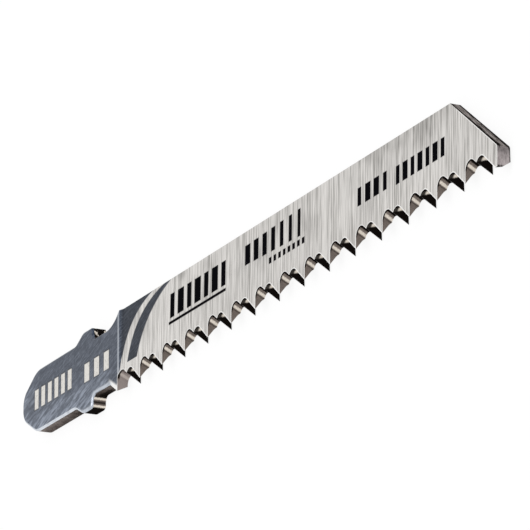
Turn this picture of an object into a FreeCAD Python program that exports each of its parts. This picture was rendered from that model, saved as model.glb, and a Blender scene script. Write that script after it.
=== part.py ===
"""Jigsaw blade: one piece of steel strip, stamped, ground thinner on both faces and ground to teeth.

Millimetres and degrees. While it is drawn, X runs along the blade from the first tooth point to
the tip, Y runs from the line of the tooth points to the spine, and Z is the thickness, with zero
in the middle of the strip. The finished blade lies flat: its placement puts the middle of its
underside at the origin, with the front face up.
"""
import FreeCAD, Part
import math
import os

import Sketcher

doc = FreeCAD.newDocument("jigsaw_blade")

SIZES = {
    # Toothed blade
    "tooth_pitch": 2.5,        # from a point on the front face to the next one, on the back face
    "tooth_pairs": 15,         # pairs of one front and one back tooth
    "end_margin": 0.5,         # from the last front point to the end of the blade
    "blade_width": 8.0,        # tooth points to spine
    "edge_stock": 0.1,         # strip left below the points where no wheel passes
    "ground_tooth": 1.28,      # thickness at the tooth points
    "ground_spine": 1.0,       # thickness at the spine, ground thinner than the teeth
    "grind_start": 0.15,       # where the wheels leave the full strip
    "grind_runout": 0.8,       # length of the ramp down to the ground faces
    # Teeth
    "gullet_depth": 1.8,       # points to the root of a gullet, in the middle of the thickness
    "root_radius": 0.85,
    "fleam_angle": 30.0,       # how far each wheel is turned from square across the blade
    "root_angle": 10.0,        # how far each gullet falls from its own face to the other
    "back_lift": 0.3,          # how much shorter the back teeth are than the front ones
    "lead_angle": 32.0,        # ramp from the neck to the first point
    "lead_fleam": 15.0,        # how far that ramp is turned from square
    # Tip
    "tip_length": 8.2,         # length over which the spine corner is cut away
    "tip_height": 1.75,        # tooth points to the upper corner of the end
    "tip_radius": 0.35,
    # Shank
    "tang_thick": 1.5,
    "tang_length": 22.9,       # from the first point to the end of the tang
    "tang_width": 6.4,
    "tang_drop": 0.1,          # centre line of the shank below the middle of the toothed part
    "tang_taper": 3.3,         # length of the sloping corners at the end of the tang
    "tang_flat": 1.7,          # what they leave of the end
    "tang_corner": 1.1,        # radius where the slopes meet the sides
    "end_corner": 0.55,        # radius where they meet the end
    "lug_span": 8.2,           # over both lugs
    "lug_length": 2.2,
    "lug_slope": 1.5,          # length of each lug's sloping front
    "lug_corner": 0.35,
    "neck_length": 5.9,        # from the lugs to the first point
    "neck_width": 5.6,
    "neck_corner": 0.3,
    "lead_stock": 0.05,        # strip left in front of the ramp until it is ground
    "shoulder_start": 0.2,     # where the spine begins
    "shoulder_radius": 4.3,
    "rolled_edge": 0.14,       # radius that stamping leaves round the front of the shank
}

sizes = doc.addObject("Spreadsheet::Sheet", "sizes")
for row, (name, size) in enumerate(SIZES.items(), 1):
    sizes.set(f"A{row}", name)
    sizes.set(f"B{row}", str(size))
    sizes.setAlias(f"B{row}", name)
doc.recompute()

# Places that several features share, written with the sheet's names
REACH = "(2 * sizes.tooth_pitch * sizes.tooth_pairs + sizes.end_margin)"
SIDE_SHIFT = "(sizes.ground_tooth / 2 * tan(sizes.fleam_angle * 1deg))"
ROOT_FALL = "(sizes.ground_tooth / 2 * tan(sizes.root_angle * 1deg))"
SHANK_MIDDLE = "(sizes.blade_width / 2 - sizes.tang_drop)"
NECK_FOOT = f"({SHANK_MIDDLE} - sizes.neck_width / 2)"
LEAD_START = f"(-{NECK_FOOT} / tan(sizes.lead_angle * 1deg))"
CLEAR = "(2 * sizes.tang_thick)"      # how far cutting profiles reach past the steel
CORNER_SHARE = 0.45                   # most of a short wall that a rounding at each end may take
TOUCH = 1e-6                          # points closer than this are the same


def value(expression):
    """A length or angle worked out from the sheet, as a plain number."""
    result = sizes.evalExpression(expression)
    return float(getattr(result, "Value", result))


def new_sketch(body, name, plane, offset=None):
    """A sketch on one of the body's own origin planes, moved along its normal by an expression."""
    sketch = body.newObject("Sketcher::SketchObject", name)
    role = next(item for item in body.Origin.OriginFeatures if item.Role == plane)
    sketch.AttachmentSupport = [(role, "")]
    sketch.MapMode = "FlatFace"
    if offset:
        sketch.setExpression("AttachmentOffset.Base.z", offset)
    return sketch


def dimension(sketch, kind, where, expression):
    """Adds a driving dimension and ties it to the sheet."""
    index = sketch.addConstraint(Sketcher.Constraint(kind, *where, value(expression)))
    sketch.setExpression(f"Constraints[{index}]", expression)


def place(sketch, geometry, end, x, y):
    """Ties a point to its distances from the sketch's origin."""
    dimension(sketch, "DistanceX", (-1, 1, geometry, end), x)
    dimension(sketch, "DistanceY", (-1, 1, geometry, end), y)


def add_line(sketch, start, end):
    return sketch.addGeometry(Part.LineSegment(start, end), False)


def add_arc(sketch, centre, start, end):
    """Adds the shorter arc between two points. Returns it with its ends next to start and end."""
    angles = [math.atan2(point.y - centre.y, point.x - centre.x) for point in (start, end)]
    forward = (angles[1] - angles[0]) % (2 * math.pi) < math.pi
    if not forward:
        angles.reverse()
    circle = Part.Circle(centre, FreeCAD.Vector(0, 0, 1), (start - centre).Length)
    arc = sketch.addGeometry(Part.ArcOfCircle(circle, *angles), False)
    return (arc, 1, 2) if forward else (arc, 2, 1)


def rounding(before, corner, after, radius):
    """Tangent points and centre of an arc that rounds a corner."""
    to_before = (before - corner).normalize()
    to_after = (after - corner).normalize()
    half = to_before.getAngle(to_after) / 2
    reach = radius / math.tan(half)
    middle = (to_before + to_after).normalize() * (radius / math.sin(half))
    return corner + to_before * reach, corner + to_after * reach, corner + middle


def draw_outline(sketch, corners, hollow=None):
    """Draws a closed outline of straight lines through corners given as (x, y, radius).

    hollow is (corner number, radius): from that corner an arc runs down into the next line,
    which lies along X.
    """
    points = [FreeCAD.Vector(value(x), value(y), 0) for x, y, _ in corners]
    count = len(points)
    arrive = list(points)
    leave = list(points)
    centres = {}
    if hollow:
        number, radius = hollow
        bottom = points[number + 1]
        rise = points[number].y - bottom.y
        run = math.sqrt(rise * (2 * value(radius) - rise))
        leave[number] = FreeCAD.Vector(points[number].x - run, bottom.y, 0)
        centres[number] = leave[number] + FreeCAD.Vector(0, value(radius), 0)
    for number, (_, _, radius) in enumerate(corners):
        if radius:
            around = leave[number - 1], points[number], points[(number + 1) % count]
            arrive[number], leave[number], centres[number] = rounding(*around, value(radius))

    lines = [add_line(sketch, leave[i], arrive[(i + 1) % count]) for i in range(count)]
    for number, (x, y, radius) in enumerate(corners):
        before, after = lines[number - 1], lines[number]
        if radius:
            arc, first, last = add_arc(sketch, centres[number], arrive[number], leave[number])
            sketch.addConstraint(Sketcher.Constraint("Tangent", before, 2, arc, first))
            sketch.addConstraint(Sketcher.Constraint("Tangent", arc, last, after, 1))
            dimension(sketch, "Radius", (arc,), radius)
            corner = sketch.addGeometry(Part.Point(points[number]), True)
            sketch.addConstraint(Sketcher.Constraint("PointOnObject", corner, 1, before))
            sketch.addConstraint(Sketcher.Constraint("PointOnObject", corner, 1, after))
            place(sketch, corner, 1, x, y)
        elif hollow and number == hollow[0]:
            arc, first, last = add_arc(sketch, centres[number], arrive[number], leave[number])
            sketch.addConstraint(Sketcher.Constraint("Coincident", before, 2, arc, first))
            sketch.addConstraint(Sketcher.Constraint("Tangent", arc, last, after, 1))
            sketch.addConstraint(Sketcher.Constraint("Horizontal", after))
            dimension(sketch, "Radius", (arc,), hollow[1])
            place(sketch, before, 2, x, y)
        else:
            sketch.addConstraint(Sketcher.Constraint("Coincident", before, 2, after, 1))
            place(sketch, after, 1, x, y)


def shank_side(side):
    """Corners of the shank on one side of its centre line, from the neck to the end."""
    def level(width):
        return f"({SHANK_MIDDLE} {side} {width} / 2)"
    lug_back = "-sizes.neck_length"
    lug_front = "-(sizes.neck_length + sizes.lug_length)"
    step = "(sizes.lug_span - sizes.neck_width) / 2"
    neck_corner = f"min(sizes.neck_corner; {CORNER_SHARE} * {step})"
    lug_corner = f"min(sizes.lug_corner; {CORNER_SHARE} * {step})"
    return [
        (lug_back, level("sizes.neck_width"), neck_corner),
        (lug_back, level("sizes.lug_span"), lug_corner),
        (lug_front, level("sizes.lug_span"), "sizes.lug_corner"),
        (f"({lug_front} - sizes.lug_slope)", level("sizes.tang_width"), "sizes.lug_corner"),
        ("(sizes.tang_taper - sizes.tang_length)", level("sizes.tang_width"), "sizes.tang_corner"),
        ("-sizes.tang_length", level("sizes.tang_flat"), "sizes.end_corner"),
    ]


def make_blank(body):
    """The stamped strip: toothed part and shank in one outline, at the full thickness."""
    sketch = new_sketch(body, "blank_outline", "XY_Plane")
    step = f"({LEAD_START} - sizes.lead_stock)"
    corners = [
        (step, "-sizes.edge_stock", None),
        (REACH, "-sizes.edge_stock", None),
        (REACH, "sizes.tip_height", "sizes.tip_radius"),
        (f"({REACH} - sizes.tip_length)", "sizes.blade_width", None),
        ("sizes.shoulder_start", "sizes.blade_width", None),
        *shank_side("+"),
        *reversed(shank_side("-")),
        (step, NECK_FOOT, None),
    ]
    draw_outline(sketch, corners, hollow=(4, "sizes.shoulder_radius"))
    blank = body.newObject("PartDesign::Pad", "blank")
    blank.Profile = sketch
    blank.SideType = "Symmetric"
    blank.setExpression("Length", "sizes.tang_thick")
    doc.recompute()
    return blank


def roll_front_edges(body, blank):
    """The punch leaves the shank's front edges slightly rounded."""
    front = value("sizes.tang_thick / 2") - TOUCH
    shank_end = value("sizes.shoulder_start") + TOUCH
    names = []
    for number, edge in enumerate(blank.Shape.Edges, 1):
        if all(vertex.Z > front and vertex.X < shank_end for vertex in edge.Vertexes):
            names.append(f"Edge{number}")
    rolled = body.newObject("PartDesign::Fillet", "rolled_edges")
    rolled.Base = (blank, names)
    rolled.setExpression("Radius", "sizes.rolled_edge")
    doc.recompute()


def grind_section(body, name, offset, foot, top):
    """What a wheel removes at one place along the blade, given the levels that it leaves."""
    sketch = new_sketch(body, name, "YZ_Plane", offset)
    under = f"(-sizes.edge_stock - {CLEAR})"
    over = f"(sizes.blade_width + {CLEAR})"
    outside = f"(sizes.tang_thick / 2 + {CLEAR})"
    draw_outline(sketch, [(under, foot, None), (over, top, None), (over, outside, None), (under, outside, None)])
    return sketch


def grind_faces(body):
    """Both faces are ground from a short ramp to the tip, thinner towards the spine."""
    face = "sizes.tang_thick / 2"
    slope = "(sizes.ground_tooth - sizes.ground_spine) / 2 / sizes.blade_width"
    foot = f"(sizes.ground_tooth / 2 + {slope} * (sizes.edge_stock + {CLEAR}))"
    top = f"(sizes.ground_spine / 2 - {slope} * {CLEAR})"
    start = "sizes.grind_start"
    down = "(sizes.grind_start + sizes.grind_runout)"
    first = grind_section(body, "grind_start_section", start, face, face)
    second = grind_section(body, "grind_full_section", down, foot, top)
    third = grind_section(body, "grind_tip_section", f"({REACH} + {CLEAR})", foot, top)
    ground = body.newObject("PartDesign::SubtractiveLoft", "ground_front")
    ground.Profile = first
    ground.Sections = [second, third]
    ground.Ruled = True
    doc.recompute()
    back = body.newObject("PartDesign::Mirrored", "ground_back")
    back.Originals = [ground]
    back.MirrorPlane = (next(f for f in body.Origin.OriginFeatures if f.Role == "XY_Plane"), [""])
    body.Tip = back
    doc.recompute()


def cut_across(body, name, sketch, side, fleam, fall):
    """Cuts a profile right through the strip, along a line turned by two angles.

    side is 1 for a wheel that starts from the front face and -1 for one from the back.
    """
    before = body.Shape.Volume
    cut = body.newObject("PartDesign::Pocket", name)
    cut.Profile = sketch
    cut.SideType = "Symmetric"
    cut.setExpression("Length", f"2 * {CLEAR}")
    cut.UseCustomVector = True
    cut.AlongSketchNormal = True
    cut.setExpression("Direction.x", f"-tan({fleam} * 1deg)")
    cut.setExpression("Direction.y", f"-tan({fall} * 1deg)")
    cut.setExpression("Direction.z", f"{-side}")
    doc.recompute()
    if not body.Shape.Volume < before - 1e-3:
        raise RuntimeError(f"{name} removed nothing")
    return cut


def lead_in(body):
    """The ramp from the neck's lower edge down to the first point, ground from the back."""
    sketch = new_sketch(body, "lead_in_profile", "XY_Plane")
    below = f"(-sizes.edge_stock - {CLEAR})"
    shift = "sizes.tang_thick / 2 * tan(sizes.lead_fleam * 1deg)"
    behind = f"({LEAD_START} - sizes.lead_stock - {CLEAR})"
    draw_outline(sketch, [
        (behind, NECK_FOOT, None),
        (f"({shift} + {LEAD_START})", NECK_FOOT, None),
        (f"({shift} - {below} / tan(sizes.lead_angle * 1deg))", below, None),
        (behind, below, None),
    ])
    cut_across(body, "lead_in", sketch, -1, "sizes.lead_fleam", "0")


def gullet_profile(body, name, first, lift):
    """Outline of one gullet in the middle of the thickness.

    A straight wall, which becomes the rake of the tooth behind it, runs up into a round root,
    and the relief of the next tooth falls from there through that tooth's point. first is where
    the tooth behind has its point, and lift is how far the next one stays above the line.
    """
    sketch = new_sketch(body, name, "XY_Plane")
    wall_x = f"({first} - {SIDE_SHIFT})"
    next_x = f"({first} + sizes.tooth_pitch + {SIDE_SHIFT})"
    below = f"(-sizes.edge_stock - {CLEAR})"
    centre_y = "(sizes.gullet_depth - sizes.root_radius)"
    radius = value("sizes.root_radius")
    wall = value(wall_x)
    floor = value(below)
    centre = FreeCAD.Vector(wall + radius, value(centre_y), 0)
    next_y = f"({ROOT_FALL} + {lift})"
    point = FreeCAD.Vector(value(next_x), value(next_y), 0)
    to_point = point - centre
    fall = math.atan2(to_point.y, to_point.x) - math.asin(radius / to_point.Length)
    wall_top = FreeCAD.Vector(wall, centre.y, 0)
    relief_top = centre + FreeCAD.Vector(-math.sin(fall), math.cos(fall), 0) * radius
    relief_end = FreeCAD.Vector(point.x + (floor - point.y) / math.tan(fall), floor, 0)
    wall_foot = FreeCAD.Vector(wall, floor, 0)

    rake = add_line(sketch, wall_foot, wall_top)
    relief = add_line(sketch, relief_top, relief_end)
    base = add_line(sketch, relief_end, wall_foot)
    root, root_start, root_end = add_arc(sketch, centre, wall_top, relief_top)
    tooth_point = sketch.addGeometry(Part.Point(point), True)
    for rule in (
        ("Vertical", rake),
        ("Horizontal", base),
        ("Tangent", rake, 2, root, root_start),
        ("Tangent", root, root_end, relief, 1),
        ("Coincident", relief, 2, base, 1),
        ("Coincident", base, 2, rake, 1),
        ("PointOnObject", tooth_point, 1, relief),
    ):
        sketch.addConstraint(Sketcher.Constraint(*rule))
    dimension(sketch, "Radius", (root,), "sizes.root_radius")
    dimension(sketch, "DistanceY", (-1, 1, root, 3), centre_y)
    place(sketch, rake, 1, wall_x, below)
    place(sketch, tooth_point, 1, next_x, next_y)
    return sketch


def grind_teeth(body, name, first, side, lift):
    """All the gullets of one face, each two pitches from the last."""
    sketch = gullet_profile(body, f"{name}_profile", first, lift)
    gullet = cut_across(body, f"{name}_gullet", sketch, side, "sizes.fleam_angle", "sizes.root_angle")
    row = body.newObject("PartDesign::LinearPattern", f"{name}_gullets")
    row.Originals = [gullet]
    row.Direction = (sketch, ["H_Axis"])
    row.Mode = "Spacing"
    row.setExpression("Offset", "2 * sizes.tooth_pitch")
    row.setExpression("Occurrences", "sizes.tooth_pairs")
    body.Tip = row
    doc.recompute()


def lay_flat(body):
    """Puts the middle of the blade's underside at the origin."""
    low = f"min(-sizes.edge_stock; {SHANK_MIDDLE} - sizes.lug_span / 2)"
    high = f"max(sizes.blade_width; {SHANK_MIDDLE} + sizes.lug_span / 2)"
    body.setExpression("Placement.Base.x", f"(sizes.tang_length - {REACH}) / 2")
    body.setExpression("Placement.Base.y", f"-({low} + {high}) / 2")
    body.setExpression("Placement.Base.z", "sizes.tang_thick / 2")
    doc.recompute()


def check(body):
    """Stops if a feature failed or the steel isn't one sound solid."""
    for item in doc.Objects:
        if "Invalid" in item.State or "Error" in item.State:
            raise RuntimeError(f"{item.Name}: {item.State}")
    shape = body.Shape
    if shape.isNull() or not shape.isValid() or len(shape.Solids) != 1:
        raise RuntimeError(f"{body.Label} is not one sound solid")


blade = doc.addObject("PartDesign::Body", "blade")
blade.Label = "blade"
strip = make_blank(blade)
roll_front_edges(blade, strip)
grind_faces(blade)
lead_in(blade)
grind_teeth(blade, "front", "0", 1, "sizes.back_lift")
grind_teeth(blade, "back", "sizes.tooth_pitch", -1, "0")
lay_flat(blade)
check(blade)

os.makedirs("parts", exist_ok=True)
blade.Shape.exportStep(f"parts/{blade.Label}.step")
box = blade.Shape.optimalBoundingBox(False)
print(f"blade {box.XLength:.2f} x {box.YLength:.2f} x {box.ZLength:.2f} mm,"
      f" {blade.Shape.Volume:.1f} mm3, {len(blade.Shape.Faces)} faces")
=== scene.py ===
"""Looks of a jigsaw blade: ground faces, coated shank, stamped edges and ground teeth, on a pale floor.

The blade is drawn in millimetres from its first tooth point, as its maker would draw it: X runs to
the tip, Y to the spine and Z out of the front face. It is then put where the frame has it.
"""
import math
from types import SimpleNamespace

import bmesh
import bpy
from mathutils import Matrix, Vector


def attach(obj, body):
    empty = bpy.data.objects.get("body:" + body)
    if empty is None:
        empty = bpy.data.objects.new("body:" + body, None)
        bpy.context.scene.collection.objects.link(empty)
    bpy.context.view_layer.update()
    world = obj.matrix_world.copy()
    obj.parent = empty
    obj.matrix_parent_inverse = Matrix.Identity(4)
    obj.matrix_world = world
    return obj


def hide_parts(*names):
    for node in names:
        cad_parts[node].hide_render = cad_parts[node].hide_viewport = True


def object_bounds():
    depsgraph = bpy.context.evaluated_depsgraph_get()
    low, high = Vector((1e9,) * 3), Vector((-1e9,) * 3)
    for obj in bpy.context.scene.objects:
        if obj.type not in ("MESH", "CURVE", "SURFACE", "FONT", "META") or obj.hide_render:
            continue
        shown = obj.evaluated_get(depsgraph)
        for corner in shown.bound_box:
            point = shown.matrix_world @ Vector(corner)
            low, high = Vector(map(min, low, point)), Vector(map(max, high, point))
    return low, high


bl_info = {
    "name": "Jigsaw blade",
    "version": (1, 0, 0),
    "blender": (4, 5, 0),
    "location": "View3D > Sidebar > Blade",
    "description": "Builds a jigsaw blade with its ground teeth and finishes, and a stage to show it on",
    "category": "Object",
}

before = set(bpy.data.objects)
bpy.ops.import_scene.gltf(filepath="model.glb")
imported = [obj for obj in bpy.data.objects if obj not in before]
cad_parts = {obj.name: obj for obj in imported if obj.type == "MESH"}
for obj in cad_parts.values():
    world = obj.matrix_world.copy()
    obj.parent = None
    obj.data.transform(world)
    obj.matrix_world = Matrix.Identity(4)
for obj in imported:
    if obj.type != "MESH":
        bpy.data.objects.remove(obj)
CAD_LOW, CAD_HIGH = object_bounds()

MM = 0.001
BLADE = "blade"
SENSOR_MM = 36
NEAR = 1e-3    # millimetres within which two places are the same

# Zones of the blade, each with its own material
FRONT, BACK, FRONT_GULLET, BACK_GULLET, RAMP, SIDE, SLOPE, END, ROLLED = range(9)

# How finely the curves are drawn
CORNER_SEGMENTS = 8
SHOULDER_STEPS = 24
ROOT_STEPS = 28
ROLL_SEGMENTS = 5
SHARP_ANGLE = math.radians(24)

# Turn of fine lines that run along the blade, and not across it
ALONG = math.radians(90)

# How far from a sharp edge the painted highlights reach: along its burrs, on the rim of a gullet and on the
# rubbed edge of the lower lug
BURR_HIGHLIGHT = 0.05 * MM
RIM = 0.17 * MM
LUG_RIM = 0.55 * MM

# Fields of the coating, each a squared oval as (centre, radii), in millimetres from the first point
COAT_EDGE = ((20.09, -6.78), (20.22, 15.36))
STRIPE_LEFT = ((22.36, -6.91), (21.11, 15.36))
STRIPE_RIGHT = ((38.13, -7.94), (34.98, 17.58))
STRIPE_FOOT = (2.31, 2.37)
SQUARE = 4.0    # power that squares the ovals
SOFT = 0.015    # softness of their outlines


def row(count, start, spacing, y, lengths, height, thinner=0.0, taller=0.0):
    """Upright bars side by side, each as (x, y, length, height). Their lengths take turns."""
    return [(start + spacing * step, y, lengths[step % len(lengths)] - thinner * step, height + taller * step)
            for step in range(count)]


# Marks, in place of the real blade's characters, and a painted highlight along the line where the face wheel
# stepped down
ETCHED_BARS = [
    *row(6, -19.4, 1.62, 4.05, [0.9], 2.0),
    *row(3, -7.15, 2.3, 3.7, [1.15], 1.85),
]
PRINTED_BARS = [
    *row(7, 12.1, 1.85, 5.3, [0.95, 1.35], 2.4),
    (17.55, 3.65, 12.4, 0.3),
    *row(7, 28.3, 1.75, 5.7, [1.1], 1.9, thinner=0.09, taller=0.12),
    *row(8, 33.0, 0.95, 3.8, [0.55], 0.6),
    *row(4, 50.6, 1.6, 4.65, [0.7, 1.05, 1.05], 1.7),
    *row(7, 57.8, 1.36, 4.5, [0.7, 0.95], 1.7),
]
STEP_HIGHLIGHT = (0.17, 4.6, 0.24, 8.0)


def number(name, description, default, **more):
    """A number that the user can change."""
    return bpy.props.FloatProperty(name=name, description=description, default=default, **more)


def length(name, description, millimetres):
    """A length, given in millimetres and kept in metres."""
    return number(name, description, millimetres * MM, unit="LENGTH", precision=5)


def turn(name, description, degrees):
    """An angle, given in degrees and kept in radians."""
    return number(name, description, math.radians(degrees), unit="ROTATION")


def vector(name, description, default, **more):
    """A place, direction or offset that the user can change."""
    return bpy.props.FloatVectorProperty(name=name, description=description, default=default, **more)


def colour(name, description, default):
    """A colour that the user can change."""
    return vector(name, description, default, subtype="COLOR", size=3, min=0, max=1)


class BladeSizes(bpy.types.PropertyGroup):
    """Sizes that the blade's mesh is drawn from."""
    tooth_pitch: length("Tooth pitch", "From one point to the next, on the other face", 2.5)
    tooth_pairs: bpy.props.IntProperty(
        name="Tooth pairs", description="Pairs of one front and one back tooth", default=15, min=1)
    end_margin: length("End margin", "From the last front point to the end", 0.5)
    blade_width: length("Blade width", "Tooth points to spine", 8.0)
    edge_stock: length("Edge stock", "Strip left below the points where no wheel passes", 0.1)
    ground_tooth: length("Thickness at the teeth", "Between the ground faces, at the points", 1.28)
    ground_spine: length("Thickness at the spine", "Between the ground faces, at the spine", 1.0)
    grind_start: length("Grind start", "Where the wheels leave the full strip", 0.15)
    grind_runout: length("Grind run-out", "Ramp down to the ground faces", 0.8)
    gullet_depth: length("Gullet depth", "Points to root, in the middle of the thickness", 1.8)
    root_radius: length("Root radius", "Rounding of a gullet's root", 0.85)
    fleam_angle: turn("Fleam", "How far a wheel is turned from square across the blade", 30)
    root_angle: turn("Root fall", "How far a gullet falls from its own face to the other", 10)
    back_lift: length("Back tooth lift", "How much shorter the back teeth are", 0.2)
    lead_angle: turn("Lead angle", "Ramp from the neck to the first point", 32)
    lead_fleam: turn("Lead fleam", "How far that ramp is turned from square", 15)
    lead_stock: length("Lead stock", "Strip left in front of the ramp until it is ground", 0.05)
    tip_length: length("Tip length", "Length of the cut spine corner", 8.2)
    tip_height: length("Tip height", "Points to the upper corner of the end", 1.75)
    tip_radius: length("Tip radius", "Rounding of that corner", 0.35)
    tang_thick: length("Strip thickness", "The full strip, at the tang", 1.5)
    tang_length: length("Tang length", "First point to the end of the tang", 22.9)
    tang_width: length("Tang width", "Side to side", 6.4)
    tang_drop: length("Tang drop", "Centre line of the shank below the middle of the blade", 0.1)
    tang_taper: length("Tang taper", "Length of the sloping corners", 3.4)
    tang_flat: length("Tang flat", "What they leave of the end", 2.4)
    tang_corner: length("Tang corner", "Radius where the slopes meet the sides", 3.0)
    end_corner: length("End corner", "Radius where the slopes meet the end", 1.6)
    lug_span: length("Lug span", "Over both lugs", 8.2)
    lug_length: length("Lug length", "Flat top of a lug", 2.3)
    lug_slope: length("Lug slope", "Sloping front of a lug", 1.8)
    lug_bend: length("Lug bend", "Radius at both ends of that slope", 1.6)
    lug_corner: length("Lug corner", "Rounding of a lug's back corner", 0.45)
    neck_length: length("Neck length", "Lugs to the first point", 5.9)
    neck_width: length("Neck width", "Side to side", 5.6)
    neck_corner: length("Neck corner", "Rounding between neck and lug", 0.7)
    shoulder_start: length("Shoulder start", "Where the spine begins", 0.2)
    shoulder_radius: length("Shoulder radius", "Hollow between neck and spine", 4.3)
    rolled_edge: length("Rolled edge", "Radius that stamping leaves on the front of the shank", 0.2)


class BladeFinish(bpy.types.PropertyGroup):
    """Colours of the blade's finishes."""
    ground: colour("Ground steel", "Bare ground face", (0.84, 0.815, 0.785))
    ground_dark: colour("Ground shade", "Bare ground face where it is dull", (0.22, 0.21, 0.195))
    coating: colour("Coating", "Blue-grey coating of the shank", (0.042, 0.054, 0.080))
    coating_worn: colour("Worn coating", "Coating rubbed thin", (0.31, 0.35, 0.43))
    # Painted highlight along the grinding step, on the lower lug's edge and on the lower rolled edges, partly
    # rubbed steel.
    rubbed: colour("Rubbed edge", "Steel that shows through the coating", (0.72, 0.76, 0.82))
    # Painted highlight along sharp edges, partly real burrs; also the white patch by the ramp.
    burr_and_highlight: colour("Burr", "Bright edge that grinding leaves", (0.99, 0.98, 0.96))
    gullet: colour("Gullet", "Steel ground by the tooth wheels", (0.20, 0.165, 0.145))
    # Painted highlight and reflection bands in the gullets and on the lower lug's back; also pale blotches on
    # the upper lug's back.
    gullet_bright: colour("Bright gullet", "Where the wheels left it bright", (0.80, 0.73, 0.64))
    # Burn colour, and painted shade and dark reflections in the gullets; also the ramp's darker top.
    gullet_burn_and_shade: colour("Burnt gullet", "Where the wheels ran hot", (0.006, 0.0045, 0.004))
    ramp: colour("Ramp", "Ramp to the first point", (0.34, 0.29, 0.275))
    burnished: colour("Burnished edge", "Upper part of a stamped edge", (0.18, 0.148, 0.135))
    # Also the painted shade under the lower lug.
    torn_and_shade: colour("Torn edge", "Lower part of a stamped edge", (0.007, 0.0055, 0.005))
    cut: colour("Cut corner", "Cut spine corner", (0.27, 0.235, 0.22))
    end: colour("End", "End face of the blade", (0.47, 0.42, 0.42))
    ink: colour("Ink", "Printed fields on the front face", (0.003, 0.003, 0.004))
    etched: colour("Etched marks", "Pale marks in the coating", (0.78, 0.755, 0.71))


class StageSettings(bpy.types.PropertyGroup):
    """Floor, sky, lamp and camera."""
    floor: colour("Floor", "Pale floor", (0.93, 0.93, 0.93))
    evenness: number("Evenness", "How far the floor hides its shadow from the camera", 0.86,
                     subtype="FACTOR", min=0, max=1)
    floor_size: number("Floor size", "Width of the floor", 4.0, unit="LENGTH")
    floor_gap: length("Floor gap", "Between the floor and the blade, so that they do not share a plane", 0.01)
    sky: number("Sky", "Strength of the white surroundings", 0.92)
    lamp_place: vector("Lamp place", "Where the soft lamp hangs", (0.1, 0.0, 0.9), subtype="TRANSLATION")
    lamp_width: number("Lamp width", "Width of the lamp's disk", 0.7, unit="LENGTH")
    lamp_power: number("Lamp power", "Power of the lamp", 2.5, unit="POWER")
    lens: number("Lens", "Focal length on a 36 mm sensor", 322.9, unit="CAMERA")
    eye: vector("Camera place", "Where the photo was taken from", (0.3744, -0.1288, 0.18305),
                subtype="TRANSLATION")
    right: vector("Picture's right", "Its direction in the room", (0.441, -0.004, -0.897),
                  subtype="DIRECTION")
    up: vector("Picture's up", "Its direction in the room", (0.2696, 0.9544, 0.1283), subtype="DIRECTION")
    shift: vector("Shift", "The picture's offset on the sensor", (-0.0027, -0.0008), size=2)


def in_millimetres(settings):
    """A settings group's values in millimetres and radians, and the places worked out from them."""
    found = {}
    for item in settings.bl_rna.properties:
        if item.identifier in ("rna_type", "name"):
            continue
        given = getattr(settings, item.identifier)
        found[item.identifier] = round(given / MM, 5) if item.unit == "LENGTH" else given
    found["reach"] = 2 * found["tooth_pitch"] * found["tooth_pairs"] + found["end_margin"]
    found["shank_middle"] = found["blade_width"] / 2 - found["tang_drop"]
    found["neck_foot"] = found["shank_middle"] - found["neck_width"] / 2
    found["lead_start"] = -found["neck_foot"] / math.tan(found["lead_angle"])
    found["clear"] = 2 * found["tang_thick"]
    return SimpleNamespace(**found)


def drawing_origin(size):
    """Where the first tooth point's foot, in the middle of the thickness, lies in the frame, in metres."""
    return Vector((
        CAD_LOW.x + size.tang_length * MM,
        CAD_HIGH.y - size.blade_width * MM,
        (CAD_LOW.z + CAD_HIGH.z) / 2,
    ))


# Mesh

def outline(bm, points):
    """Fills a closed loop of points with one face."""
    bm.faces.new([bm.verts.new((x, y, 0)) for x, y in points])


def corner_reach(vert, radius):
    """How far along its two edges the rounding of a corner starts."""
    first, second = ((edge.other_vert(vert).co - vert.co).normalized() for edge in vert.link_edges)
    return radius / math.tan(first.angle(second) / 2)


def round_corner(bm, vert, radius):
    """Rounds one corner of an outline."""
    bmesh.ops.bevel(bm, geom=[vert], offset=corner_reach(vert, radius), offset_type="OFFSET",
                    segments=CORNER_SEGMENTS, profile=0.5, affect="VERTICES", material=-1,
                    clamp_overlap=False)


def verts_among(items):
    """The vertices among some parts of a mesh."""
    return [item for item in items if isinstance(item, bmesh.types.BMVert)]


def stretch(bm, way):
    """Extrudes an outline as far to one side of it as to the other, and closes the solid."""
    bmesh.ops.translate(bm, verts=bm.verts[:], vec=-way)
    moved = bmesh.ops.extrude_face_region(bm, geom=bm.faces[:], use_keep_orig=True)["geom"]
    bmesh.ops.translate(bm, verts=verts_among(moved), vec=way * 2)
    bmesh.ops.recalc_face_normals(bm, faces=bm.faces[:])


def swing(bm, centre, start, angle, steps):
    """Spins one vertex round a centre, which leaves an arc of edges. Returns the arc's last vertex."""
    made = bmesh.ops.spin(bm, geom=[start], cent=centre, axis=(0, 0, 1), angle=angle, steps=steps,
                          use_merge=False)
    return verts_among(made["geom_last"])[0]


def join(bm, *verts):
    """Draws an edge from each vertex to the next."""
    for first, second in zip(verts, verts[1:]):
        bm.edges.new((first, second))


def blank_zone(size, face):
    """The finish of one face of the stamped strip."""
    if abs(face.normal.z) > 0.5:
        return FRONT if face.normal.z > 0 else BACK
    if face.calc_center_median().x < size.reach - size.tip_length - NEAR:
        return SIDE
    return SLOPE if face.normal.y > 0.4 else END


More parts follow.
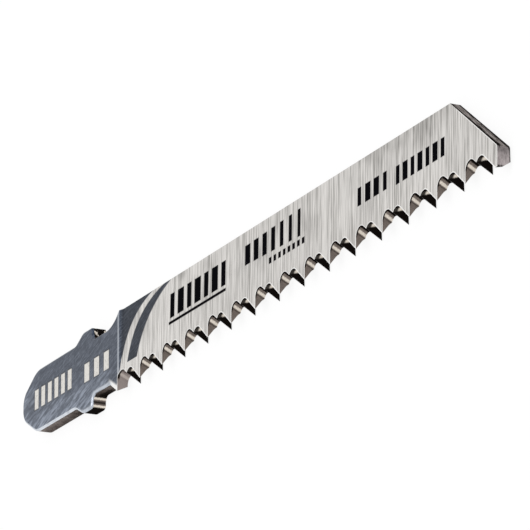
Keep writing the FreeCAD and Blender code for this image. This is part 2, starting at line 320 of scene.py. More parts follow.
def add_blank(bm, size):
    """The stamped strip, with its corners rounded and its shank's front edges rolled."""
    neck_top = size.shank_middle + size.neck_width / 2
    climb = size.blade_width - neck_top
    run = math.sqrt(climb * (2 * size.shoulder_radius - climb))
    foot = Vector((size.shoulder_start - run, neck_top, 0))
    centre = foot + Vector((0, size.shoulder_radius, 0))
    sweep = math.asin(run / size.shoulder_radius)
    step = size.lead_start - size.lead_stock
    lug_front = -(size.neck_length + size.lug_length)
    taper = size.tang_taper - size.tang_length

    def side(sign):
        """Corners of the shank on one side of its centre line, from the neck to the end."""
        widths = [
            (-size.neck_length, size.neck_width, size.neck_corner),
            (-size.neck_length, size.lug_span, size.lug_corner),
            (lug_front, size.lug_span, size.lug_bend),
            (lug_front - size.lug_slope, size.tang_width, size.lug_bend),
            (taper, size.tang_width, size.tang_corner),
            (-size.tang_length, size.tang_flat, size.end_corner),
        ]
        return [(x, size.shank_middle + sign * width / 2, radius) for x, width, radius in widths]

    corners = [
        *side(1),
        *reversed(side(-1)),
        (step, size.neck_foot, 0),
        (step, -size.edge_stock, 0),
        (size.reach, -size.edge_stock, 0),
        (size.reach, size.tip_height, size.tip_radius),
        (size.reach - size.tip_length, size.blade_width, 0),
    ]
    verts = [bm.verts.new((x, y, 0)) for x, y, radius in corners]
    start = bm.verts.new(foot)
    end = swing(bm, centre, start, sweep, SHOULDER_STEPS)
    join(bm, start, *verts, end)
    bmesh.ops.contextual_create(bm, geom=bm.edges[:])
    for vert, (x, y, radius) in zip(verts, corners):
        if radius:
            round_corner(bm, vert, radius)
    stretch(bm, Vector((0, 0, size.tang_thick / 2)))
    for face in bm.faces:
        face.material_index = blank_zone(size, face)
    rolled = [edge for edge in bm.edges if all(
        vert.co.z > 0 and vert.co.x < size.shoulder_start + NEAR for vert in edge.verts)]
    made = bmesh.ops.bevel(bm, geom=rolled, offset=size.rolled_edge, offset_type="OFFSET",
                           segments=ROLL_SEGMENTS, profile=0.5, affect="EDGES", material=-1,
                           clamp_overlap=False)
    for face in made["faces"]:
        face.material_index = ROLLED


def add_face_wheel(bm, size, sign):
    """What the wheel removes from one face: a ramp, then a level that falls towards the spine."""
    under = -size.edge_stock - size.clear
    over = size.blade_width + size.clear
    slope = (size.ground_tooth - size.ground_spine) / 2 / size.blade_width
    full = size.tang_thick / 2
    foot_level = size.ground_tooth / 2 - slope * under
    top_level = size.ground_tooth / 2 - slope * over
    levels = [
        (size.grind_start, full, full),
        (size.grind_start + size.grind_runout, foot_level, top_level),
        (size.reach + size.clear, foot_level, top_level),
    ]
    outside = full + size.clear
    sections = []
    for x, foot, top in levels:
        corners = [(under, foot), (over, top), (over, outside), (under, outside)]
        sections.append([bm.verts.new((x, y, z)) for y, z in corners])
    for near, far in zip(sections, sections[1:]):
        for corner in range(4):
            bm.faces.new((near[corner - 1], near[corner], far[corner], far[corner - 1]))
    bm.faces.new(sections[0])
    bm.faces.new(sections[-1])
    if sign < 0:
        bmesh.ops.scale(bm, verts=bm.verts[:], vec=(1, 1, -1))
    bmesh.ops.recalc_face_normals(bm, faces=bm.faces[:])


def cut_way(size, sign, fleam, fall):
    """From the middle of the thickness to where a cutter leaves the strip."""
    return Vector((-math.tan(fleam), -math.tan(fall), -sign)) * size.clear


def add_lead_wheel(bm, size):
    """Grinds the ramp from the neck's lower edge down to the first point, from the back."""
    below = -size.edge_stock - size.clear
    shift = size.tang_thick / 2 * math.tan(size.lead_fleam)
    behind = size.lead_start - size.lead_stock - size.clear
    outline(bm, [
        (behind, size.neck_foot),
        (shift + size.lead_start, size.neck_foot),
        (shift - below / math.tan(size.lead_angle), below),
        (behind, below),
    ])
    stretch(bm, cut_way(size, -1, size.lead_fleam, 0))


def add_tooth_wheel(bm, size, sign, first, lift):
    """All the gullets of one face: rake, round root and relief, cut across at an angle."""
    side_shift = size.ground_tooth / 2 * math.tan(size.fleam_angle)
    root_fall = size.ground_tooth / 2 * math.tan(size.root_angle)
    wall = first - side_shift
    floor = -size.edge_stock - size.back_lift
    centre = Vector((wall + size.root_radius, size.gullet_depth - size.root_radius, 0))
    point = Vector((first + size.tooth_pitch + side_shift, root_fall + lift, 0))
    to_point = point - centre
    fall = math.atan2(to_point.y, to_point.x) - math.asin(size.root_radius / to_point.length)
    start = bm.verts.new((wall, centre.y, 0))
    end = swing(bm, centre, start, -(math.pi / 2 - fall), ROOT_STEPS)
    relief_end = bm.verts.new((point.x + (floor - point.y) / math.tan(fall), floor, 0))
    foot = bm.verts.new((wall, floor, 0))
    join(bm, end, relief_end, foot, start)
    bmesh.ops.contextual_create(bm, geom=bm.edges[:])
    stretch(bm, cut_way(size, sign, size.fleam_angle, size.root_angle))
    gullet = bm.verts[:] + bm.edges[:] + bm.faces[:]
    for pair in range(1, size.tooth_pairs):
        verts = verts_among(bmesh.ops.duplicate(bm, geom=gullet)["geom"])
        bmesh.ops.translate(bm, verts=verts, vec=(2 * size.tooth_pitch * pair, 0, 0))


def new_object(name, fill, *given, zone=None, materials=()):
    """An object whose mesh a function fills. zone is the material index of all its faces."""
    bm = bmesh.new()
    fill(bm, *given)
    if zone is not None:
        for face in bm.faces:
            face.material_index = zone
    mesh = bpy.data.meshes.new(name)
    bm.to_mesh(mesh)
    bm.free()
    for material in materials:
        mesh.materials.append(material)
    piece = bpy.data.objects.new(name, mesh)
    bpy.context.scene.collection.objects.link(piece)
    return piece


def bake_modifiers(piece):
    """Makes the shape that a piece's modifiers give its own mesh."""
    bpy.context.view_layer.update()
    graph = bpy.context.evaluated_depsgraph_get()
    mesh = bpy.data.meshes.new_from_object(
        piece.evaluated_get(graph), preserve_all_data_layers=True, depsgraph=graph)
    piece.modifiers.clear()
    piece.data = mesh


def cut(piece, cutter):
    """Takes one object's shape out of another and deletes it."""
    modifier = piece.modifiers.new("cut", "BOOLEAN")
    modifier.operation = "DIFFERENCE"
    modifier.solver = "EXACT"
    modifier.material_mode = "INDEX"
    modifier.object = cutter
    bake_modifiers(piece)
    bpy.data.objects.remove(cutter)


def make_blade(size, materials):
    """The blade, stamped and then ground in the order in which a real one is."""
    piece = new_object("ground_blade", add_blank, size, materials=materials)
    wheels = [
        (add_face_wheel, (1,), FRONT),
        (add_face_wheel, (-1,), BACK),
        (add_lead_wheel, (), RAMP),
        (add_tooth_wheel, (1, 0, size.back_lift), FRONT_GULLET),
        (add_tooth_wheel, (-1, size.tooth_pitch, 0), BACK_GULLET),
    ]
    for fill, given, zone in wheels:
        cut(piece, new_object("wheel", fill, size, *given, zone=zone, materials=materials))
    piece.data.transform(Matrix.Translation(drawing_origin(size)) @ Matrix.Scale(MM, 4))
    piece.data.shade_smooth()
    piece.data.set_sharp_from_angle(angle=SHARP_ANGLE)
    level = piece.modifiers.new("level", "WEIGHTED_NORMAL")
    level.keep_sharp = True
    bake_modifiers(piece)
    piece.data.name = piece.name
    return piece


# Shading

def feed(tree, item, inputs):
    """Sets a node's inputs to values, or links other nodes' outputs to them."""
    for name, given in inputs.items():
        if isinstance(given, bpy.types.NodeSocket):
            tree.links.new(given, item.inputs[name])
        else:
            item.inputs[name].default_value = given


def put(tree, kind, inputs=None, **settings):
    """Adds a shader node with its settings and inputs."""
    item = tree.nodes.new("ShaderNode" + kind)
    for name, setting in settings.items():
        setattr(item, name, setting)
    feed(tree, item, inputs or {})
    return item


def sums(tree, operation, *given, clamp=False):
    """One step of arithmetic on numbers or other nodes' outputs."""
    item = put(tree, "Math", dict(enumerate(given)), operation=operation, use_clamp=clamp)
    return item.outputs[0]


def vectors(tree, operation, first, second):
    """One step of arithmetic on two vectors."""
    item = put(tree, "VectorMath", {0: first, 1: second}, operation=operation)
    return item.outputs["Value" if operation == "DOT_PRODUCT" else 0]


def without(tree, mask):
    """The reverse of a mask."""
    return sums(tree, "SUBTRACT", 1.0, mask)


def part_of(tree, mask, amount):
    """A mask at part of its strength."""
    return sums(tree, "MULTIPLY", mask, amount)


def scaled(tree, mask, amount, base):
    """A mask times an amount, on top of a number or another output."""
    return sums(tree, "MULTIPLY_ADD", mask, amount, base)


def where_all(tree, *masks):
    """Where several masks meet."""
    found = masks[0]
    for mask in masks[1:]:
        found = sums(tree, "MULTIPLY", found, mask)
    return found


def blend_colour(tree, factor, first, second):
    """Mixes two colours, each a plain colour or another node's output."""
    def full(given):
        return given if isinstance(given, bpy.types.NodeSocket) else (*given, 1)
    item = put(tree, "Mix", {0: factor, 6: full(first), 7: full(second)}, data_type="RGBA")
    return item.outputs[2]


def tint(tree, face, paint, mask, amount):
    """Lays a colour over a face by part of a mask's strength."""
    return blend_colour(tree, part_of(tree, mask, amount), face, paint)


def rise(tree, given, low, high):
    """0 below low and 1 above high, each a number or another node's output."""
    return put(tree, "MapRange", {"Value": given, "From Min": low, "From Max": high},
               interpolation_type="SMOOTHSTEP", clamp=True).outputs[0]


def drop(tree, given, low, high):
    """1 below low and 0 above high."""
    return without(tree, rise(tree, given, low, high))


def ramp(tree, given, start, end, stops):
    """Colours along a value from start to end. Stops are (value, colour)."""
    along = put(tree, "MapRange", {"Value": given, "From Min": start, "From Max": end}, clamp=True)
    item = put(tree, "ValToRGB", {0: along.outputs[0]})
    points = item.color_ramp.elements
    while len(points) < len(stops):
        points.new(1.0)
    for point, (place, paint) in zip(points, stops):
        point.position = (place - start) / (end - start)
        point.color = (*paint, 1)
    return item.outputs[0]


def axes(tree, place):
    """The three parts of a place."""
    return put(tree, "SeparateXYZ", {0: place}).outputs


def new_group(name, output, **inputs):
    """A shader node group that gives one number. An input whose default is no number is a vector."""
    tree = bpy.data.node_groups.new(name, "ShaderNodeTree")
    for label, default in inputs.items():
        kind = "Float" if isinstance(default, float) else "Vector"
        socket = tree.interface.new_socket(label, in_out="INPUT", socket_type=f"NodeSocket{kind}")
        if default is not None:
            socket.default_value = default
    tree.interface.new_socket(output, in_out="OUTPUT", socket_type="NodeSocketFloat")
    return tree, tree.nodes.new("NodeGroupInput").outputs, tree.nodes.new("NodeGroupOutput").inputs[0]


def use_group(tree, group, **inputs):
    """Places a node group and returns its output."""
    return put(tree, "Group", inputs, node_tree=group).outputs[0]


def lines_group():
    """Fine lines that a wheel or a roller leaves: noise that is short across and long along."""
    tree, given, out = new_group("fine lines", "Tone", Vector=None, Turn=0.0, Spacing=0.3, Length=5.0)
    turned = put(tree, "VectorRotate", {"Vector": given["Vector"], "Angle": given["Turn"]},
                 rotation_type="Z_AXIS").outputs[0]
    across = sums(tree, "DIVIDE", 1.0, given["Spacing"])
    along = sums(tree, "DIVIDE", 1.0, given["Length"])
    scale = put(tree, "CombineXYZ", {"X": across, "Y": along, "Z": across}).outputs[0]
    stretched = vectors(tree, "MULTIPLY", turned, scale)
    noise = put(tree, "TexNoise", {"Vector": stretched, "Scale": 1.0, "Detail": 2.0, "Roughness": 0.7})
    tree.links.new(noise.outputs[0], out)
    return tree


def clouds_group():
    """Soft patches, such as dull places and stains."""
    tree, given, out = new_group("soft patches", "Mask", Vector=None, Size=6.0, Low=0.4, High=0.7)
    scale = sums(tree, "DIVIDE", 1.0, given["Size"])
    noise = put(tree, "TexNoise", {"Vector": given["Vector"], "Scale": scale, "Detail": 3.0})
    tree.links.new(rise(tree, noise.outputs[0], given["Low"], given["High"]), out)
    return tree


def sweep_group():
    """Inside of a squared oval's upper left quarter, which bounds the curved fields of the coating."""
    tree, given, out = new_group("curved field", "Mask", Vector=None, Centre=None, Radii=(10, 10, 1))
    away = vectors(tree, "SUBTRACT", given["Vector"], given["Centre"])
    x, y, _ = axes(tree, vectors(tree, "DIVIDE", away, given["Radii"]))
    left = sums(tree, "POWER", sums(tree, "MINIMUM", x, 0.0), SQUARE)
    top = sums(tree, "POWER", sums(tree, "MAXIMUM", y, 0.0), SQUARE)
    tree.links.new(drop(tree, sums(tree, "ADD", left, top), 1 - SOFT, 1 + SOFT), out)
    return tree


def bar_group():
    """How far outside a bar a point lies, and below 0 inside it."""
    tree, given, out = new_group("bar", "Distance", Vector=None, Centre=None, Size=(1, 1, 1))
    x, y, _ = axes(tree, vectors(tree, "SUBTRACT", given["Vector"], given["Centre"]))
    half_long, half_high, _ = axes(tree, vectors(tree, "MULTIPLY", given["Size"], (0.5, 0.5, 0.5)))
    past_end = sums(tree, "SUBTRACT", sums(tree, "ABSOLUTE", x), half_long)
    past_side = sums(tree, "SUBTRACT", sums(tree, "ABSOLUTE", y), half_high)
    tree.links.new(sums(tree, "MAXIMUM", past_end, past_side), out)
    return tree


def edge_group():
    """Close to a sharp edge, where painted highlights go: 1 where a rounded normal would turn away from the
    flat one.
    """
    tree, given, out = new_group("worn edge", "Mask", Radius=BURR_HIGHLIGHT, Low=0.02, High=0.12)
    round_normal = put(tree, "Bevel", {"Radius": given["Radius"]}, samples=8).outputs[0]
    flat_normal = put(tree, "NewGeometry").outputs["True Normal"]
    bend = without(tree, vectors(tree, "DOT_PRODUCT", round_normal, flat_normal))
    tree.links.new(rise(tree, bend, given["Low"], given["High"]), out)
    return tree


def gullet_group():
    """How far round its gullet's root a point lies, in degrees: 0 on the rake, 90 at the root's top."""
    tree, given, out = new_group("round the gullet", "Angle", Vector=None, Middle=None, Spacing=5.0,
                                 Side=1.0, Fleam=0.5, Fall=0.17)
    x, y, z = axes(tree, vectors(tree, "SUBTRACT", given["Vector"], given["Middle"]))
    depth = sums(tree, "MULTIPLY", z, given["Side"])
    along = scaled(tree, depth, part_of(tree, given["Fleam"], -1.0), x)
    height = scaled(tree, depth, part_of(tree, given["Fall"], -1.0), y)
    before_middle = -1.2
    after_middle = sums(tree, "ADD", given["Spacing"], before_middle)
    local = sums(tree, "WRAP", along, after_middle, before_middle)
    angle = sums(tree, "ARCTAN2", height, part_of(tree, local, -1.0))
    tree.links.new(sums(tree, "DEGREES", angle), out)
    return tree


def new_material(name, size):
    """A material, its tree, its surface shader and the blade's drawing coordinates in millimetres."""
    material = bpy.data.materials.new(name)
    material.use_nodes = True
    tree = material.node_tree
    tree.nodes.clear()
    shader = put(tree, "BsdfPrincipled", {"Metallic": 1.0})
    put(tree, "OutputMaterial", {"Surface": shader.outputs[0]})
    place = put(tree, "TexCoord").outputs["Object"]
    start = -drawing_origin(size) / MM
    drawn = put(tree, "Mapping", {"Vector": place, "Location": start, "Scale": (1 / MM,) * 3})
    return material, tree, shader, drawn.outputs[0]


def wire(tree, shader, **inputs):
    """Feeds a shader. Underscores in its inputs' names stand for spaces."""
    feed(tree, shader, {label.replace("_", " "): given for label, given in inputs.items()})


def wire_matt_dark(tree, shader, face, roughness, **more):
    """Gives steel its colour and gloss: dark places do not shine, so that scale, oil and painted shade stay
    dark.
    """
    light = put(tree, "RGBToBW", {0: face}).outputs[0]
    wire(tree, shader, Base_Color=face, Roughness=roughness, Metallic=rise(tree, light, 0.02, 0.30),
         Specular_IOR_Level=0.0, **more)


def ground_steel(tree, groups, finish, drawn):
    """Colour of a ground face, and its lines' tone: lines across the blade, and matt patches that gather
    towards the spine as painted shade, with a darkening towards the tip.
    """
    fine = use_group(tree, groups.lines, Vector=drawn, Spacing=0.10, Length=5.5)
    broad = use_group(tree, groups.lines, Vector=drawn, Spacing=0.19, Length=9.0)
    patch = use_group(tree, groups.clouds, Vector=drawn, Size=6.0, Low=0.46, High=0.72)
    x, y, _ = axes(tree, drawn)
    # Painted shade: patches gather towards the spine, standing for the tilted upper part of the face; the
    # face also darkens towards the tip.
    upper = rise(tree, y, 2.6, 6.6)
    dull_and_shade = where_all(tree, patch, scaled(tree, upper, 0.8, 0.2))
    dull_and_shade = scaled(tree, rise(tree, x, 4.0, 26.0), 0.22, dull_and_shade)
    shade = part_of(tree, rise(tree, fine, 0.40, 0.64), 0.30)
    shade = scaled(tree, rise(tree, broad, 0.47, 0.60), 0.42, shade)
    total = sums(tree, "MULTIPLY_ADD", dull_and_shade, 0.40, shade, clamp=True)
    return blend_colour(tree, total, finish.ground, finish.ground_dark), fine


def wire_ground(tree, shader, face, line, **more):
    """Gives a ground face its colour, and the gloss and bump of its lines."""
    bump = put(tree, "Bump", {"Height": line, "Strength": 0.08, "Distance": 0.02 * MM})
    wire(tree, shader, Base_Color=face, Roughness=scaled(tree, line, 0.22, 0.26),
         Normal=bump.outputs[0], **more)


def coating(tree, groups, finish, drawn):
    """Colour of the shank's coating: slanting streaks, and scratches low on the tang and at its end."""
    slant = math.radians(73)
    streak = use_group(tree, groups.lines, Vector=drawn, Turn=slant, Spacing=0.15, Length=1.6)
    scratch = use_group(tree, groups.lines, Vector=drawn, Turn=slant, Spacing=0.32, Length=2.6)
    grain = use_group(tree, groups.clouds, Vector=drawn, Size=0.3, Low=0.4, High=0.7)
    x, y, _ = axes(tree, drawn)
    low = where_all(tree, drop(tree, y, 1.0, 4.4), drop(tree, x, -3.0, -0.5))
    end = drop(tree, x, -22.4, -18.0)
    where = sums(tree, "MAXIMUM", low, part_of(tree, end, 0.7))
    scuffed = where_all(tree, rise(tree, scratch, 0.42, 0.66), scaled(tree, where, 0.62, 0.05))
    faded = scaled(tree, where, 0.16, scuffed)
    thin = scaled(tree, rise(tree, streak, 0.44, 0.70), 0.30, faded)
    thin = sums(tree, "MULTIPLY_ADD", grain, 0.10, thin, clamp=True)
    return blend_colour(tree, thin, finish.coating, finish.coating_worn)


def bars(tree, groups, drawn, given):
    """How far outside the nearest of some bars a point lies. Each bar is (x, y, length, height)."""
    distance = None
    for x, y, long, high in given:
        one = use_group(tree, groups.bar, Vector=drawn, Centre=(x, y, 0), Size=(long, high, 1))
        distance = one if distance is None else sums(tree, "MINIMUM", distance, one)
    return distance


def coated_part(tree, groups, drawn):
    """The shank up to a curve, and a stripe that narrows towards the spine."""
    def field(centre, radii):
        return use_group(tree, groups.sweep, Vector=drawn, Centre=(*centre, 0), Radii=(*radii, 1))

    shank = without(tree, field(*COAT_EDGE))
    stripe = where_all(tree, field(*STRIPE_LEFT), without(tree, field(*STRIPE_RIGHT)),
                       rise(tree, axes(tree, drawn)[1], *STRIPE_FOOT))
    return sums(tree, "MAXIMUM", shank, stripe)


def add_etched(tree, groups, finish, drawn, face):
    """Pale bars in the coating, with a dark line round them. Returns the face's colour."""
    beside = bars(tree, groups, drawn, ETCHED_BARS)
    patchy = use_group(tree, groups.clouds, Vector=drawn, Size=0.3, Low=0.25, High=0.5)
    etched = where_all(tree, drop(tree, beside, -0.04, 0.05), scaled(tree, patchy, 0.3, 0.7))
    face = tint(tree, face, finish.torn_and_shade, drop(tree, beside, 0.06, 0.2), 0.55)
    return blend_colour(tree, etched, face, finish.etched)


def add_bare_edges(tree, groups, finish, drawn, face):
    """Marks on the front face: a painted highlight where the wheel stepped down, a white patch by the ramp,
    and painted highlights by the lower lug and at the teeth, partly burrs.
    """
    x, y, _ = axes(tree, drawn)
    # A painted highlight along the step.
    step_highlight = drop(tree, bars(tree, groups, drawn, [STEP_HIGHLIGHT]), -0.06, 0.06)
    face = tint(tree, face, finish.rubbed, step_highlight, 0.5)
    low = scaled(tree, x, 0.55, y)
    by_ramp = where_all(tree, drop(tree, low, 0.35, 0.75), drop(tree, x, 0.2, 0.5),
                        rise(tree, x, -2.2, -1.2))
    face = tint(tree, face, finish.burr_and_highlight, by_ramp, 0.95)
    by_lug = where_all(tree, drop(tree, y, 1.6, 2.6), drop(tree, x, -1.5, -1.0),
                       rise(tree, x, -10.5, -8.0))
    # Painted highlight on the lower lug's rolled edge.
    rubbed = where_all(tree, use_group(tree, groups.edge, Radius=LUG_RIM, Low=0.002, High=0.03), by_lug)
    face = tint(tree, face, finish.rubbed, rubbed, 0.65)
    toothed = where_all(tree, drop(tree, y, 6.6, 7.4), rise(tree, x, 1.3, 1.6))
    first = where_all(tree, drop(tree, y, 2.0, 2.6), rise(tree, x, -0.4, 0.2))
    # Painted highlights on the rims of the teeth, partly burrs.
    rim = where_all(tree, use_group(tree, groups.edge, Radius=RIM, Low=0.006, High=0.05),
                    sums(tree, "MAXIMUM", toothed, first))
    return blend_colour(tree, rim, face, finish.burr_and_highlight)


def front_material(size, finish, groups):
    """The front face: ground steel, coated shank with its curved stripe, and marks."""
    material, tree, shader, drawn = new_material("front face", size)
    steel, line = ground_steel(tree, groups, finish, drawn)
    past_step = rise(tree, axes(tree, drawn)[0], 0.3, 0.9)
    coat = tint(tree, coating(tree, groups, finish, drawn), finish.ink, past_step, 0.60)
    coated = coated_part(tree, groups, drawn)
    face = blend_colour(tree, coated, steel, coat)
    face = add_etched(tree, groups, finish, drawn, face)
    printed = drop(tree, bars(tree, groups, drawn, PRINTED_BARS), -0.04, 0.04)
    face = blend_colour(tree, printed, face, finish.ink)
    face = add_bare_edges(tree, groups, finish, drawn, face)
    matt = where_all(tree, coated, part_of(tree, past_step, 0.4))
    metal = without(tree, sums(tree, "MAXIMUM", printed, matt))
    wire_ground(tree, shader, face, line, Metallic=metal, Specular_IOR_Level=0.0)
    return material


def back_material(size, finish, groups):
    """The back face: ground steel, and the coated shank up to the grinding."""
    material, tree, shader, drawn = new_material("back face", size)
    steel, line = ground_steel(tree, groups, finish, drawn)
    bare = rise(tree, axes(tree, drawn)[0], 0.15, 0.22)
    face = blend_colour(tree, bare, coating(tree, groups, finish, drawn), steel)
    wire_ground(tree, shader, face, line)
    return material


def gullet_material(size, finish, groups, name, side, first, bands, rim):
    """Walls of one face's gullets: dark and pale bands round the root, which are painted reflections and
    shade with some burn colour, and a near-black rim of its arch, painted shade.

    first is where the face's first point stands, bands are (degrees round the root, colour), and the
    rim starts and ends at two heights above the middle of the thickness.
    """
    material, tree, shader, drawn = new_material(name, size)
    wall = first - size.ground_tooth / 2 * math.tan(size.fleam_angle)
    middle = (wall + size.root_radius, size.gullet_depth - size.root_radius, 0)
    angle = use_group(tree, groups.gullet, Vector=drawn, Middle=middle, Spacing=2 * size.tooth_pitch,
                      Side=side, Fleam=math.tan(size.fleam_angle), Fall=math.tan(size.root_angle))
    waver = use_group(tree, groups.lines, Vector=drawn, Turn=ALONG, Spacing=0.10, Length=1.4)
    wavy_angle = scaled(tree, waver, 14.0, sums(tree, "SUBTRACT", angle, 7.0))
    # Painted reflections and shade: colour bands by the angle round the root, with some burn colour.
    face = ramp(tree, wavy_angle, -60.0, 120.0, bands)
    streak = rise(tree, waver, 0.42, 0.66)
    face = tint(tree, face, finish.gullet_burn_and_shade, streak, 0.22)
    x, y, z = axes(tree, drawn)
    # A near-black rim of the arch: painted shade.
    arch = where_all(tree, rise(tree, z, *rim), rise(tree, y, 1.0, 1.35))
    face = tint(tree, face, finish.gullet_burn_and_shade, arch, 0.95)
    # Painted highlight along sharp edges, partly burrs.
    highlit = where_all(tree, use_group(tree, groups.edge), without(tree, arch))
    plain = where_all(tree, drop(tree, x, 0.7, 1.3), without(tree, arch))
    face = tint(tree, face, finish.ramp, plain, 0.7)
    face = tint(tree, face, finish.burr_and_highlight, highlit, 0.35)
    wire_matt_dark(tree, shader, face, 0.36)
    return material


def front_gullet_material(size, finish, groups):
    """Gullets ground from the front, seen from their rake to their root: a thin dark line, a pale band on the
    lower root and a near-black arc at its top, all painted reflections and shade.
    """
    bright, mid, burn_and_shade = finish.gullet_bright, finish.gullet, finish.gullet_burn_and_shade
    line = tuple(0.45 * part for part in mid)
    bands = [(-60, mid), (22, mid), (29, line), (35, mid), (41, bright), (54, bright), (62, mid),
             (76, mid), (84, burn_and_shade), (100, burn_and_shade)]
    return gullet_material(size, finish, groups, "front gullet", 1, 0, bands, (0.40, 0.50))


def back_gullet_material(size, finish, groups):
    """Gullets ground from the back, mostly near-black on the side that the camera sees, a painted shadow,
    with a pale band of painted reflection on the root.
    """
    bright, mid, burn_and_shade = finish.gullet_bright, finish.gullet, finish.gullet_burn_and_shade
    bands = [(-60, burn_and_shade), (34, burn_and_shade), (43, bright), (58, bright), (65, mid), (74, mid), (80, burn_and_shade),
             (100, burn_and_shade)]
    return gullet_material(size, finish, groups, "back gullet", -1, size.tooth_pitch, bands,
                           (0.16, 0.34))


def stamped_colour(tree, groups, drawn, light, dark, shade, slant=0, grain=0.5, depth=0.35):
    """Colour of a stamped or cut edge, darker where shade is high, and its grain's tone."""
    fine = use_group(tree, groups.lines, Vector=drawn, Turn=slant, Spacing=0.10, Length=grain)
    patch = use_group(tree, groups.clouds, Vector=drawn, Size=0.8, Low=0.35, High=0.7)
    tone = part_of(tree, rise(tree, fine, 0.4, 0.66), depth)
    tone = scaled(tree, patch, 0.22, tone)
    tone = sums(tree, "ADD", tone, shade, clamp=True)
    return blend_colour(tree, tone, light, dark), fine


def wire_stamped(tree, shader, groups, finish, face, fine):
    """Adds burrs with a painted highlight along them, and the grain's bump, to a stamped or cut edge."""
    face = tint(tree, face, finish.burr_and_highlight, use_group(tree, groups.edge), 0.3)
    bump = put(tree, "Bump", {"Height": fine, "Strength": 0.3, "Distance": 0.03 * MM})
    wire_matt_dark(tree, shader, face, 0.42, Normal=bump.outputs[0])


def ramp_material(size, finish, groups):
    """The ramp from the neck to the first point, ground like the gullets."""
    material, tree, shader, drawn = new_material("ramp", size)
    shade = part_of(tree, rise(tree, axes(tree, drawn)[1], 0.85, 1.1), 0.6)
    face, fine = stamped_colour(tree, groups, drawn, finish.ramp, finish.gullet_burn_and_shade, shade)
    wire_stamped(tree, shader, groups, finish, face, fine)
    return material


def side_material(size, finish, groups):
    """Stamped sides of the shank: darker towards the back, where they tore, and darker by the lugs, with
    painted shade under the lower lug, painted highlight bands on the lower lug's back and blotches on the
    upper lug's back.
    """
    material, tree, shader, drawn = new_material("stamped side", size)
    x, y, z = axes(tree, drawn)
    torn_and_shade = part_of(tree, drop(tree, z, -0.25, 0.30), 0.30)
    by_lug = where_all(tree, rise(tree, x, -14.5, -8.0), drop(tree, x, -5.0, -2.0))
    # Painted shade under the lower lug.
    shade_under_lug = where_all(tree, rise(tree, x, -10.2, -9.6), drop(tree, y, 0.2, 0.5))
    shade = sums(tree, "ADD", scaled(tree, by_lug, 0.5, torn_and_shade), shade_under_lug)
    face, fine = stamped_colour(tree, groups, drawn, finish.burnished, finish.torn_and_shade, shade)
    lug_back = where_all(tree, rise(tree, x, -6.4, -6.25), drop(tree, x, -5.75, -5.6))
    dark, brown, bright = finish.torn_and_shade, finish.burnished, finish.gullet_bright
    waver = use_group(tree, groups.lines, Vector=drawn, Turn=ALONG, Spacing=0.12, Length=0.8)
    across = scaled(tree, waver, 0.16, sums(tree, "SUBTRACT", y, 0.08))
    # Painted highlights along the rounded edges of the lower lug's back, with dark between.
    banded_highlights = ramp(tree, across, -0.5, 1.5, [
        (-0.5, dark), (-0.10, dark), (-0.02, bright), (0.08, bright), (0.16, brown), (0.40, dark),
        (0.60, brown), (0.72, bright), (0.80, bright), (0.88, dark), (1.5, dark)])
    low = drop(tree, y, 1.4, 1.6)
    face = blend_colour(tree, where_all(tree, lug_back, low), face, banded_highlights)
    blotch = use_group(tree, groups.clouds, Vector=drawn, Size=0.45, Low=0.50, High=0.66)
    blotched = blend_colour(tree, blotch, finish.torn_and_shade, finish.gullet_bright)
    face = blend_colour(tree, where_all(tree, lug_back, without(tree, low)), face, blotched)
    wire_stamped(tree, shader, groups, finish, face, fine)
    return material


def slope_material(size, finish, groups):
    """The cut spine corner: dark along both edges and streaky between."""
    material, tree, shader, drawn = new_material("cut corner", size)
    off_middle = sums(tree, "ABSOLUTE", sums(tree, "ADD", axes(tree, drawn)[2], 0.03))
    shade = part_of(tree, rise(tree, off_middle, 0.20, 0.40), 0.85)
    face, fine = stamped_colour(tree, groups, drawn, finish.cut, finish.torn_and_shade, shade,
                                slant=math.radians(127), grain=1.6, depth=0.75)
    wire_stamped(tree, shader, groups, finish, face, fine)
    return material


def end_material(size, finish, groups):
    """The end of the blade, darker at its upper corner and along its back."""
    material, tree, shader, drawn = new_material("end", size)
    _, y, z = axes(tree, drawn)
    shade = part_of(tree, rise(tree, y, 0.9, 1.7), 0.45)
    shade = scaled(tree, drop(tree, z, -0.57, -0.47), 0.6, shade)
    shade = scaled(tree, drop(tree, y, -0.02, 0.12), 0.6, shade)
    face, fine = stamped_colour(tree, groups, drawn, finish.end, finish.torn_and_shade, shade)
    wire_stamped(tree, shader, groups, finish, face, fine)
    return material


def rolled_material(size, finish, groups):
    """Rounded front edges of the shank: a painted highlight with rubbed steel below, and still dark above."""
    material, tree, shader, drawn = new_material("rolled edge", size)
    rub = use_group(tree, groups.clouds, Vector=drawn, Size=1.0, Low=0.3, High=0.6)
    x, y, _ = axes(tree, drawn)
    below = drop(tree, y, 2.2, 3.4)
    by_lug = rise(tree, x, -9.5, -7.5)
    # Painted highlight on the lower rolled edges, partly rubbed steel.
    bright = where_all(tree, below, scaled(tree, rub, 0.3, 0.7))
    coat = coating(tree, groups, finish, drawn)
    edge = tint(tree, finish.rubbed, finish.coating_worn, by_lug, 0.4)
    face = blend_colour(tree, bright, coat, edge)
    wire(tree, shader, Base_Color=face, Roughness=0.3)
    return material


class BuildBlade(bpy.types.Operator):
    """Stamps and grinds the blade, and gives each zone of it its finish"""
    bl_idname = "jigsaw.build_blade"
    bl_label = "Build the blade"

    def execute(self, context):
        size = in_millimetres(context.scene.blade_sizes)
        finish = context.scene.blade_finish
        groups = SimpleNamespace(lines=lines_group(), clouds=clouds_group(), sweep=sweep_group(),
                                 bar=bar_group(), edge=edge_group(), gullet=gullet_group())
        makers = (front_material, back_material, front_gullet_material, back_gullet_material,
                  ramp_material, side_material, slope_material, end_material, rolled_material)
        piece = make_blade(size, [maker(size, finish, groups) for maker in makers])
        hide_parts(BLADE)
        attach(piece, "root")
        return {"FINISHED"}


# Stage

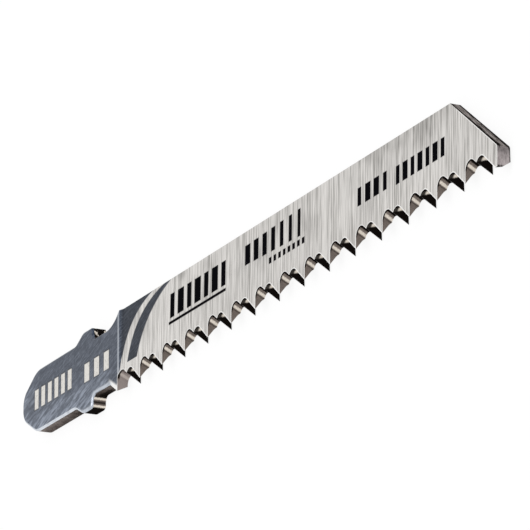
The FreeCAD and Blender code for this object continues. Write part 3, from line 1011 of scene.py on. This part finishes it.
def add_floor(stage):
    """A pale floor, seen from above only, so that the blade's back shows from below."""
    under_blade = Matrix.Translation((0, 0, -stage.floor_gap))
    floor = new_object("floor", lambda bm: bmesh.ops.create_grid(
        bm, x_segments=1, y_segments=1, size=stage.floor_size / 2, matrix=under_blade))
    material = bpy.data.materials.new("floor")
    material.use_nodes = True
    tree = material.node_tree
    tree.nodes.clear()
    lit = put(tree, "BsdfDiffuse", {"Color": (*stage.floor, 1)}).outputs[0]
    plain = put(tree, "Emission", {"Color": (1, 1, 1, 1), "Strength": 1.0}).outputs[0]
    path = put(tree, "LightPath").outputs
    seen = sums(tree, "MAXIMUM", path["Is Camera Ray"], path["Is Glossy Ray"])
    even = part_of(tree, seen, stage.evenness)
    mixed = put(tree, "MixShader", {0: even, 1: lit, 2: plain}).outputs[0]
    below = put(tree, "NewGeometry").outputs["Backfacing"]
    clear = put(tree, "BsdfTransparent").outputs[0]
    one_sided = put(tree, "MixShader", {0: below, 1: mixed, 2: clear})
    put(tree, "OutputMaterial", {"Surface": one_sided.outputs[0]})
    floor.data.materials.append(material)


def add_world(stage):
    """Even white light from all round."""
    world = bpy.data.worlds.new("studio")
    world.use_nodes = True
    background = world.node_tree.nodes["Background"]
    background.inputs["Color"].default_value = (1, 1, 1, 1)
    background.inputs["Strength"].default_value = stage.sky
    bpy.context.scene.world = world


def add_lamp(stage):
    """A soft round lamp that points at the blade."""
    light = bpy.data.lights.new("overhead", "AREA")
    light.shape = "DISK"
    light.size = stage.lamp_width
    light.energy = stage.lamp_power
    lamp = bpy.data.objects.new("overhead", light)
    lamp.location = stage.lamp_place
    lamp.rotation_euler = (-Vector(stage.lamp_place)).to_track_quat("-Z", "Y").to_euler()
    bpy.context.scene.collection.objects.link(lamp)


def add_camera(stage):
    """The camera, set where the photo was taken from and turned as the picture was."""
    data = bpy.data.cameras.new("camera")
    data.sensor_width = SENSOR_MM
    data.lens = stage.lens
    data.shift_x, data.shift_y = stage.shift
    data.clip_start = 0.01
    data.clip_end = 20
    camera = bpy.data.objects.new("camera", data)
    right = Vector(stage.right).normalized()
    back = right.cross(Vector(stage.up)).normalized()
    up = back.cross(right)
    turned = Matrix((right, up, back)).transposed().to_4x4()
    camera.matrix_world = Matrix.Translation(stage.eye) @ turned
    bpy.context.scene.collection.objects.link(camera)
    bpy.context.scene.camera = camera


class BuildStage(bpy.types.Operator):
    """Lays the floor and sets up the sky, the lamp and the camera"""
    bl_idname = "jigsaw.build_stage"
    bl_label = "Build the stage"

    def execute(self, context):
        stage = context.scene.blade_stage
        add_floor(stage)
        add_world(stage)
        add_lamp(stage)
        add_camera(stage)
        context.scene.view_settings.view_transform = "Standard"
        return {"FINISHED"}


class BladePanel(bpy.types.Panel):
    """The two operators and all the settings"""
    bl_idname = "VIEW3D_PT_jigsaw_blade"
    bl_label = "Jigsaw blade"
    bl_space_type = "VIEW_3D"
    bl_region_type = "UI"
    bl_category = "Blade"

    def draw(self, context):
        self.layout.operator(BuildBlade.bl_idname)
        self.layout.operator(BuildStage.bl_idname)
        for group in (context.scene.blade_sizes, context.scene.blade_finish, context.scene.blade_stage):
            box = self.layout.box()
            for item in group.bl_rna.properties:
                if item.identifier not in ("rna_type", "name"):
                    box.prop(group, item.identifier)


GROUPS = {"blade_sizes": BladeSizes, "blade_finish": BladeFinish, "blade_stage": StageSettings}
CLASSES = (*GROUPS.values(), BuildBlade, BuildStage, BladePanel)


def register():
    """Adds the classes, and the settings to the scene."""
    for item in CLASSES:
        bpy.utils.register_class(item)
    for name, group in GROUPS.items():
        setattr(bpy.types.Scene, name, bpy.props.PointerProperty(type=group))


def unregister():
    """Takes away what register added."""
    for name in GROUPS:
        delattr(bpy.types.Scene, name)
    for item in reversed(CLASSES):
        bpy.utils.unregister_class(item)


def main():
    """Builds the blade and the stage."""
    register()
    bpy.ops.jigsaw.build_blade()
    bpy.ops.jigsaw.build_stage()


if __name__ == "__main__":
    main()
